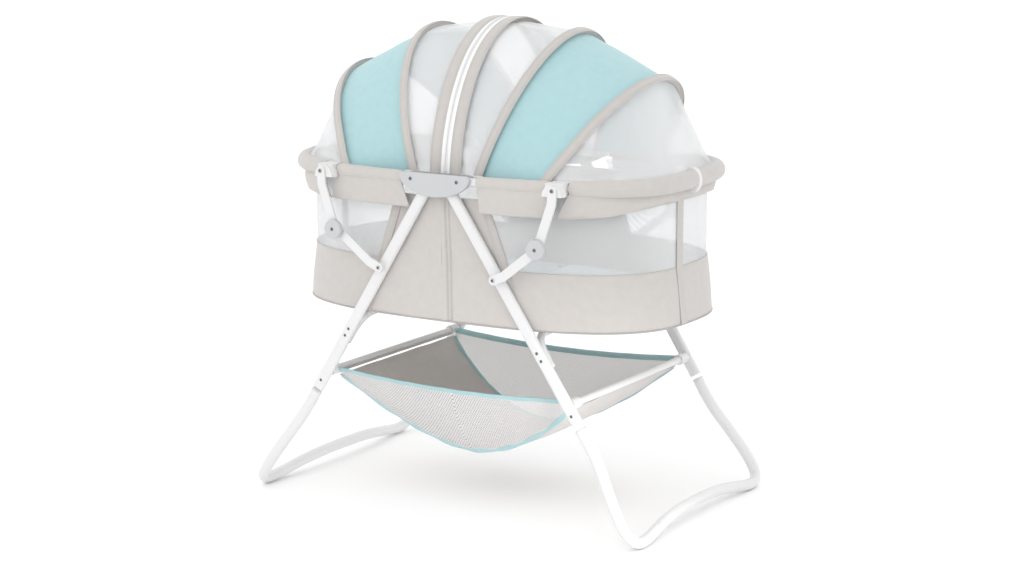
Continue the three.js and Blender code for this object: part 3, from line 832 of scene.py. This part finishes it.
def end_line(height, sign):
    """A line round the tub's end at one height, just proud of the cloth."""
    return end_wall([height], sign, 160, out=0.001)[:, 0]


def fold_up(piece):
    """Gives a piece of the tub its own copy of its mesh."""
    flatten(piece)


def fold_in(piece):
    """Gives a piece below the hub its own copy of its mesh."""
    flatten(piece)


def make_tub_end(end, sign):
    body = f"rail_{end}"
    heights = np.linspace(TUB_LOW, BAND_TOP, 13)
    share = (heights - TUB_LOW) / (BAND_TOP - TUB_LOW)
    grid = end_wall(heights, sign, 120, out=0.0012 * np.sin(share * math.pi))
    band = slab(f"tub_band_{end}", grid, 0.0028, "grey_cloth", slack=0.0014, slack_size=0.07)
    dress(band, body, "grey_fabric", f"tub_wall_{end}")
    fold_up(band)

    net_heights = np.linspace(BAND_TOP - 0.002, TUB_RIM, 9)
    net_grid = end_wall(net_heights, sign, 100)
    net = slab(f"tub_net_{end}", net_grid, NET_THICK, "tub_net")
    dress(net, body, "net_fabric")
    fold_up(net)

    trims = [
        bead(f"tub_band_seam_{end}", end_line(BAND_TOP, sign), 0.0014, "grey_binding"),
        bead(f"tub_piping_{end}", end_line(TUB_LOW, sign), PIPING_R, "piping"),
    ]
    tape_y = -0.035 if end == "right" else 0.004
    across = TUB.length / 2 + tape_y + np.linspace(-0.0108, 0.0108, 5)
    tape_heights = np.linspace(TUB_LOW + 0.001, RAIL_Z - 0.012, 25)
    tape_grid = up_wall(tape_heights, sign, lambda height, scale: across, out=0.0026)
    trims.append(slab(f"end_tape_{end}", tape_grid, 0.0012, "grey_binding"))
    for trim in trims:
        dress(trim, body, "grey_fabric")
        fold_up(trim)

    for side, y_sign in SIDES:
        make_seam_strip(end, sign, side, y_sign)


def make_seam_strip(end, sign, side, y_sign):
    """The doubled strip over the slanted seam between the solid panel and the end of the tub."""
    def places(height, scale):
        distance = TUB.reach((seam_x(height) + np.linspace(-0.0095, 0.0095, 7)) / scale[0])
        return TUB.length - distance if y_sign > 0 else distance

    grid = up_wall(np.linspace(TUB_LOW + 0.001, PANEL_TOP - 0.002, 33), sign, places, out=0.0022)
    strip = slab(f"seam_strip_{side}_{end}", grid, 0.0016, "grey_binding")
    dress(strip, "hub", "grey_fabric")
    fold_in(strip)
    normals = grid_normals(grid)
    outward = np.sign(normals[3, 16][1] * y_sign)
    lines = [(grid[k] + normals[k] * outward * 0.0009, normals[k] * outward) for k in (1, 2, 5)]
    thread = stitches(f"seam_stitching_{side}_{end}", lines, "grey_thread")
    dress(thread, "hub", "grey_fabric")
    fold_in(thread)


def panel_face(x, height, lift=0.0):
    """How far the panel's outer face stands from the middle of the tub."""
    level = TUB.at(TUB.reach(np.abs(x) / tub_scale(height)[0])) * np.array(tub_scale(height))
    return lift - level[..., 1]


def make_tub_panel(end, sign, side, y_sign):
    """Half of the solid cloth below the hub. The right half carries the gathered double seam."""
    name = f"{side}_{end}"
    heights = np.linspace(TUB_LOW, PANEL_TOP, 25)
    u = np.linspace(0, 1, 33)
    columns = []
    for height in heights:
        x = sign * seam_x(height) * u
        pinch = 0.0018 * np.exp(-((x - panel_seam_x(height)) / 0.006) ** 2)
        y = y_sign * panel_face(x, height, -pinch)
        columns.append(np.stack([x, y, np.full(len(x), height)], -1))
    grid = np.stack(columns, 1)
    panel = slab(f"tub_side_{name}", grid, 0.0028, "grey_cloth", slack=0.0012, slack_size=0.06)
    dress(panel, "hub", "grey_fabric", f"tub_panel_{side}")

    x = sign * np.linspace(0, SEAM_LOW_X, 40)
    low = np.stack([x, y_sign * panel_face(x, TUB_LOW, 0.001), np.full(len(x), TUB_LOW)], -1)
    trims = [bead(f"side_piping_{name}", low, PIPING_R, "piping")]
    if sign > 0:
        rows = []
        z = np.linspace(TUB_LOW + 0.002, PANEL_TOP - 0.004, 80)
        for shift in (-0.0045, 0.0045):
            x = panel_seam_x(z) + shift
            y = [y_sign * panel_face(*at, 0.0012) for at in zip(x, z)]
            line = np.stack([x, y, z], -1)
            rows.append((line, np.broadcast_to(np.array([0, float(y_sign), 0]), line.shape)))
        trims.append(zigzag(f"side_seam_{side}", rows))
    for trim in trims:
        dress(trim, "hub", "grey_fabric")
    for piece in (panel, *trims):
        fold_in(piece)


def panel_seam_x(z):
    """The panel's middle seam leans a little."""
    share = (z - TUB_LOW) / (PANEL_TOP - TUB_LOW)
    return 0.020 - 0.008 * share


def zigzag(name, rows):
    """Two rows of slanted stitches that gather the cloth between them."""
    pitch, half, lean = 0.0042, 0.0022, 0.0011
    lines = []
    for k, (points, normals) in enumerate(rows):
        distance = along(points)
        count = int(distance[-1] / pitch)
        for i in range(count):
            place = (i + 0.5) * pitch
            c = sample(place, distance, points)
            step = np.array([half, 0, lean if k == 0 else -lean])
            lines.append((np.array([c - step, c, c + step]), np.array([normals[0]] * 3)))
    return stitches(name, lines, "grey_thread", pitch=0.0022, length=0.0024, width=0.0007)


# ---- Mattress and tub floor

def make_tub_floor(end, sign):
    """Cloth over one half of the tub's oval, narrowing towards the end."""
    half_length, half_width, count = TUB_A - 0.004, TUB_B - 0.0055, 41
    x = half_length * np.sin(np.linspace(0, 1, count) * math.pi / 2)
    x = np.minimum(x, half_length * 0.9995)
    y = half_width * (1 - (x / half_length) ** TUB_POWER) ** (1 / TUB_POWER)
    grid = np.stack([
        np.repeat(sign * x[:, None], count, 1),
        y[:, None] * np.linspace(-1, 1, count)[None, :],
        np.full((count, count), TUB_LOW + 0.001),
    ], -1)
    cloth_floor = slab(f"tub_floor_cloth_{end}", grid, 0.002, "grey_cloth", slack=0.0006)
    dress(cloth_floor, f"rail_{end}", "grey_fabric", "tub_floor")
    fold_up(cloth_floor)


def pad_mesh():
    """Half of the mattress, built for the right end: inflated cloth, then sewn channels."""
    low, high = mattress_low, mattress_high
    inset = 0.006
    rim = []
    for x, y in Oval(high.x - inset, high.y - inset, TUB_POWER).points[::40]:
        rim.append((max(x, 0.004), y))
    mesh = bpy.data.meshes.new("mattress_pad")
    count = len(rim)
    bottom, top = low.z + 0.004, high.z - 0.010
    verts = [(x, y, bottom) for x, y in rim] + [(x, y, top) for x, y in rim]
    faces = [tuple(range(count))[::-1], tuple(range(count, 2 * count))]
    faces += [(i, (i + 1) % count, count + (i + 1) % count, count + i) for i in range(count)]
    mesh.from_pydata(verts, [], faces)
    pad = bpy.data.objects.new("mattress_pad_right", mesh)
    bpy.context.scene.collection.objects.link(pad)
    bpy.context.view_layer.objects.active = pad
    remesh = pad.modifiers.new("remesh", "REMESH")
    remesh.mode = "VOXEL"
    remesh.voxel_size = 0.006
    apply_modifiers(pad)
    rest = np.array([v.co for v in pad.data.vertices])
    inflate(pad)
    moved = np.array([v.co for v in pad.data.vertices])
    step = moved - rest
    reach = np.linalg.norm(step, axis=1, keepdims=True)
    cap = 0.008
    moved = rest + step * np.minimum(1, cap / np.maximum(reach, 1e-9))
    moved[:, 2] = np.maximum(moved[:, 2], low.z)
    return pad, sew_channels(moved, high)


def inflate(pad):
    settings = pad.modifiers.new("cloth", "CLOTH").settings
    settings.use_pressure = True
    settings.uniform_pressure_force = 4.0
    settings.effector_weights.gravity = 0.0
    settings.quality = 5
    scene = bpy.context.scene
    for number in range(1, 21):
        scene.frame_set(number)
    apply_modifiers(pad)
    scene.frame_set(1)


def apply_modifiers(obj):
    graph = bpy.context.evaluated_depsgraph_get()
    mesh = bpy.data.meshes.new_from_object(obj.evaluated_get(graph))
    obj.modifiers.clear()
    obj.data = mesh


def sew_channels(points, high):
    """Presses a diamond of quilting seams into the top and gives it a gentle crown."""
    points = points.copy()
    top = smoothstep((points[:, 2] - (high.z - 0.016)) / 0.008)
    inside = 1 - (np.abs(points[:, 0]) / high.x) ** 3 - (np.abs(points[:, 1]) / high.y) ** 3
    pitch = 0.085
    rising = np.abs(((points[:, 0] + points[:, 1]) / pitch) % 1 - 0.5) * pitch
    falling = np.abs(((points[:, 0] - points[:, 1]) / pitch) % 1 - 0.5) * pitch
    nearest = np.minimum(rising, falling)
    groove = 0.0045 * np.exp(-(nearest / 0.0055) ** 2)
    crown = 0.004 * np.clip(inside, 0, 1)
    wrinkle = np.array([0.0020 * noise.noise(Vector((p[0] * 16, p[1] * 34, 3.0))) for p in points])
    points[:, 2] += top * (crown + wrinkle - groove)
    return points


def make_mattress():
    pad, points = pad_mesh()
    faces = [tuple(p.vertices) for p in pad.data.polygons]
    bpy.data.objects.remove(pad)
    for end, sign in ENDS:
        verts = points * np.array([sign, 1, 1])
        piece = make_object(f"mattress_pad_{end}", verts, faces, verts[:, :2], "pad_cloth")
        dress(piece, f"rail_{end}", "pad_fabric", f"mattress_{end}")
        fold_up(piece)
        rim = Oval(mattress_high.x - 0.001, mattress_high.y - 0.001, TUB_POWER)
        distance = np.linspace(0.006, rim.length - 0.006, 160)
        line = on_oval(rim, distance, mattress_high.z - 0.009, sign)
        edge = bead(f"mattress_piping_{end}", line, 0.0018, "pad_cloth")
        dress(edge, f"rail_{end}", "pad_fabric")
        fold_up(edge)


# ---- Basket

def sling_edge(x):
    """Half width and height of the hanging cloth at x."""
    share = np.abs(x) / BAR_X
    half = SLING_LOW_Y + (SLING_END_Y - SLING_LOW_Y) * share ** 2
    z = SLING_LOW_Z + (BAR_Z - 0.004 - SLING_LOW_Z) * share ** 1.8
    return half, z


def dress_basket(piece):
    """Bakes the piece's placement into its mesh."""
    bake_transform(piece)


def make_basket(end, sign):
    reach = BAR_X - BAR_R - 0.001
    x = np.linspace(0, reach, 33)
    half, z = sling_edge(x)
    v = np.linspace(-1, 1, 27)
    crown = 0.006 * (1 - v ** 2)
    grid = np.stack([
        np.repeat(sign * x[:, None], len(v), 1),
        half[:, None] * v[None, :],
        z[:, None] - crown[None, :] * np.sin(x / reach * math.pi)[:, None] ** 0.5,
    ], -1)
    sling = slab(f"basket_cloth_{end}", grid, 0.0020, "grey_cloth", slack=0.0035, slack_size=0.06)
    dress_basket(sling)
    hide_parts("basket_sling")

    hem_y = np.linspace(-SLING_END_Y + 0.012, SLING_END_Y - 0.012, 41)
    hem_line = np.stack([np.full(41, sign * (reach - 0.001)), hem_y, np.full(41, BAR_Z - 0.004)], -1)
    hem = bead(f"basket_hem_{end}", hem_line, 0.0022, "grey_binding")
    dress_basket(hem)

    for side, y_sign in SIDES:
        make_basket_side(end, sign, side, y_sign, reach)


def make_basket_side(end, sign, side, y_sign, reach):
    x = np.linspace(0, reach - 0.004, 41)
    half, low_z = sling_edge(x)
    share = x / BAR_X
    top_z = BAR_Z + 0.002 - 0.014 * (1 - share ** 2)
    low = np.stack([sign * x, y_sign * half, low_z + 0.001], -1)
    top = np.stack([sign * x, np.full(len(x), y_sign * (SLING_END_Y + 0.003)), top_z], -1)
    v = np.linspace(0, 1, 11)[None, :, None]
    grid = low[:, None] * (1 - v) + top[:, None] * v
    bulge = 0.010 * np.sin(v * math.pi) * (1 - share[:, None, None] ** 2)
    grid = grid + bulge * np.array([0, y_sign * 0.7, -0.7])
    # The far side's net takes the lighter net, whose lightness is painted light against its shade.
    net = slab(f"basket_mesh_{side}_{end}", grid, 0.0008,
               "basket_net" if side == "near" else "fine_basket_net_painted_light")
    dress_basket(net)
    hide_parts(f"basket_net_{side}")

    for name, line, half_width in (("top", top, 0.0060), ("low", low, 0.0052)):
        tangent = unit(np.gradient(line, axis=0))
        across = unit(grid[:, 5] - grid[:, 0] + np.array([0, y_sign * 0.001, 0.002]))
        across = unit(across - tangent * (across * tangent).sum(1, keepdims=True))
        out = np.cross(tangent, across)
        a = np.linspace(-half_width, half_width, 7)
        thick = 0.0016 * np.cos(a / half_width * 1.4) + 0.0004
        outline = np.concatenate([np.stack([a, thick], -1), np.stack([a, -thick], -1)[::-1]])
        wavy = line + out * (0.0012 * np.sin(x / 0.011))[:, None] * (1 if name == "low" else 0.3)
        fine = evenly(wavy, 81)
        coarse, wanted = np.linspace(0, 1, len(x)), np.linspace(0, 1, 81)
        across, out = sample(wanted, coarse, across), sample(wanted, coarse, out)
        trim = sweep(f"basket_{name}_binding_{side}_{end}", fine, across, out, lambda s: outline,
                     "aqua_binding")
        dress_basket(trim)


# ---- Screws

STUD_END = 0.0016                    # how far the studs stand past the links
LEG_STUD_END = 0.0021
LEG_SCREWS_Z = (0.3475, 0.3335, 0.235)


def screw(at, axis, radius=0.0036, height=0.0018):
    """A domed head with a cross recess. Returns its points and faces."""
    axis = unit(np.array(axis, float))
    side = unit(np.cross(axis, np.array([0.3, 0.1, 1.0])))
    other = np.cross(axis, side)
    rings, around = 9, 32
    verts = [np.zeros(3)]
    for r in range(1, rings + 1):
        share = r / rings
        for k in range(around):
            angle = 2 * math.pi * k / around
            a, b = share * radius * math.cos(angle), share * radius * math.sin(angle)
            lift = height * (1 - share ** 2.6)
            arm = min(abs(a), abs(b)) < 0.16 * radius and share < 0.62
            verts.append(side * a + other * b + axis * (lift - (0.45 * height if arm else 0)))
    verts[0] = axis * height * 0.4
    base = len(verts)
    verts += [side * a + other * b - axis * 0.001 for a, b in circle(radius, around)]
    faces = [(0, 1 + k, 1 + (k + 1) % around) for k in range(around)]
    faces += ring_faces(rings + 1, around, first=1)
    faces.append(tuple(base + k for k in range(around))[::-1])
    return [np.array(at) + v for v in verts], faces


def make_screws(name, body, places, axis, **size):
    verts, faces = [], []
    for at in places:
        points, quads = screw(at, axis, **size)
        faces += [tuple(i + len(verts) for i in quad) for quad in quads]
        verts += points
    uvs = [(p[0], p[2]) for p in verts]
    piece = make_object(name, verts, faces, uvs, "screw_steel")
    dress(piece, body, "grey_plastic")
    return piece


def on_leg(z):
    """A point on the middle of a leg's outer face, for the far right leg."""
    y = RAIL_B - (LEG_Z - z) * LEG_LEAN + LEG_HALF_THICK
    return np.array([LEG_X + (LEG_Z - z) * LEG_SLOPE, y, z])


def make_all_screws():
    cover_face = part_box("hub_cover_far")[1].y
    knuckle_low, knuckle_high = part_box("knuckle_far_right")
    middle = (knuckle_low + knuckle_high) / 2
    knuckle = np.array([middle.x, knuckle_high.y, middle.z])
    link_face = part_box("upper_link_far_right")[1].y
    lower_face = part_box("lower_link_far_right")[1].y
    for side, y_sign in SIDES:
        flip = np.array([1, y_sign, 1])
        axis = (0, y_sign, 0)
        places = [np.array((s * RAIL_PIVOT_X, cover_face, RAIL_Z)) * flip for s in (-1, 1)]
        make_screws(f"hub_screws_{side}", "hub", places, axis)
        for end, sign in ENDS:
            turn = np.array([sign, y_sign, 1])
            make_screws(f"knuckle_screw_{side}_{end}", f"upper_link_{end}", [knuckle * turn], axis)
            top = np.array((BRACE_TOP_X, link_face + STUD_END, RAIL_Z))
            make_screws(f"bracket_screw_{side}_{end}", f"rail_{end}", [top * turn], axis)
            foot = np.array((BRACE_FOOT[0], lower_face + LEG_STUD_END, BRACE_FOOT[1]))
            places = [foot, *(on_leg(z) for z in LEG_SCREWS_Z)]
            make_screws(f"leg_screws_{side}_{end}", f"leg_{end}", [p * turn for p in places], axis,
                        radius=0.0031)


# ---- Round tubes and rounded covers

def smooth_tube(node, body, finish, radius):
    """The CAD tube with a round section in place of its flats."""
    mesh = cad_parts[node].data.copy()
    shape = bmesh.new()
    shape.from_mesh(mesh)
    bmesh.ops.remove_doubles(shape, verts=shape.verts, dist=1e-5)
    bmesh.ops.join_triangles(shape, faces=shape.faces, angle_face_threshold=math.radians(20),
                             angle_shape_threshold=math.radians(60))
    crease = shape.edges.layers.float.new("crease_edge")
    for edge in shape.edges:
        if edge.is_manifold and edge.calc_face_angle() > math.radians(60):
            edge[crease] = 1.0
    shape.to_mesh(mesh)
    shape.free()
    tube = bpy.data.objects.new(node + "_round", mesh)
    bpy.context.scene.collection.objects.link(tube)
    tube.modifiers.new("round", "SUBSURF").levels = 2
    apply_modifiers(tube)
    shrink = 1 - (2 + math.cos(math.pi / 4)) / 3
    grown = [vertex.co + vertex.normal * radius * shrink for vertex in tube.data.vertices]
    tube.data.vertices.foreach_set("co", np.array(grown, np.float32).ravel())
    tube.data.materials.clear()
    tube.data.materials.append(MATERIALS[finish])
    tube.data.shade_smooth()
    tube.data.set_sharp_from_angle(angle=math.radians(50))
    return dress(tube, body, finish, node)


def rounded_cover(node, body, finish, edge):
    """A convex CAD plate with its outer edge rounded over."""
    low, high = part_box(node)
    points = np.array([v.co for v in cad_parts[node].data.vertices])
    y_sign = 1 if high.y > 0 else -1
    back, front = (low.y, high.y) if y_sign > 0 else (high.y, low.y)
    ring = points[np.abs(points[:, 1] - back) < 1e-4][:, [0, 2]]
    ring = ring[convex_hull_2d([tuple(at) for at in ring])]
    ring = evenly(np.concatenate([ring, ring[:1]]), 97)[:-1]
    for _ in range(2):
        ring = ring / 2 + (np.roll(ring, 1, 0) + np.roll(ring, -1, 0)) / 4
    tangent = unit(np.roll(ring, -1, 0) - np.roll(ring, 1, 0))
    inward = np.stack([-tangent[:, 1], tangent[:, 0]], -1)
    steps = [(0, back)]
    for angle in np.linspace(0, math.pi / 2, 7):
        steps.append((edge * (1 - math.cos(angle)), front - y_sign * edge * (1 - math.sin(angle))))
    rings = [np.insert(ring + inward * inset, 1, y, axis=1) for inset, y in steps]
    count = len(ring)
    faces = [tuple(range(count)), tuple((len(rings) - 1) * count + k for k in range(count))]
    faces += ring_faces(len(rings), count)
    verts = np.concatenate(rings)
    cover = make_object(node + "_moulded", verts, faces, verts[:, [0, 2]], finish)
    return dress(cover, body, finish, node)


def make_round_pieces():
    for end, _ in ENDS:
        smooth_tube(f"foot_frame_{end}", f"leg_{end}", "white_steel", FOOT_TUBE_R)
        smooth_tube(f"cross_tube_{end}", f"leg_{end}", "white_steel", CROSS_TUBE_R)
        for side, _ in SIDES:
            rounded_cover(f"knuckle_{side}_{end}", f"upper_link_{end}", "grey_plastic", 0.003)
    for side, _ in SIDES:
        rounded_cover(f"hub_cover_{side}", "hub", "grey_plastic", 0.0026)


# ---- Finishes for the CAD pieces

def finish_frame():
    """Gives each CAD piece that is shown its material."""
    # The hub plate's finish is painted shade, a darker grey for the shade it sits in.
    finishes = {
        "hub_cover": "grey_plastic", "knuckle": "grey_plastic", "hub_plate": "plate_steel_painted_shade",
        "rail_bracket": "white_plastic", "rail_ring": "white_plastic", "rail_": "white_steel",
        "leg": "white_steel", "foot": "white_steel", "cross": "white_steel", "upper": "white_steel",
        "lower": "white_steel", "basket_bar": "white_plastic", "canopy_bracket": "white_plastic",
        "bow": "white_plastic",
    }
    for node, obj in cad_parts.items():
        for start, material in finishes.items():
            if node.startswith(start):
                obj.data.materials.clear()
                obj.data.materials.append(MATERIALS[material])
                break


make_camera()
make_stage()
finish_frame()
for end, sign in ENDS:
    make_canopy(end, sign)
    make_rail_cover(end, sign)
    make_tub_end(end, sign)
    make_tub_floor(end, sign)
    make_basket(end, sign)
    for side, y_sign in SIDES:
        make_tub_panel(end, sign, side, y_sign)
make_mattress()
make_round_pieces()
make_all_screws()
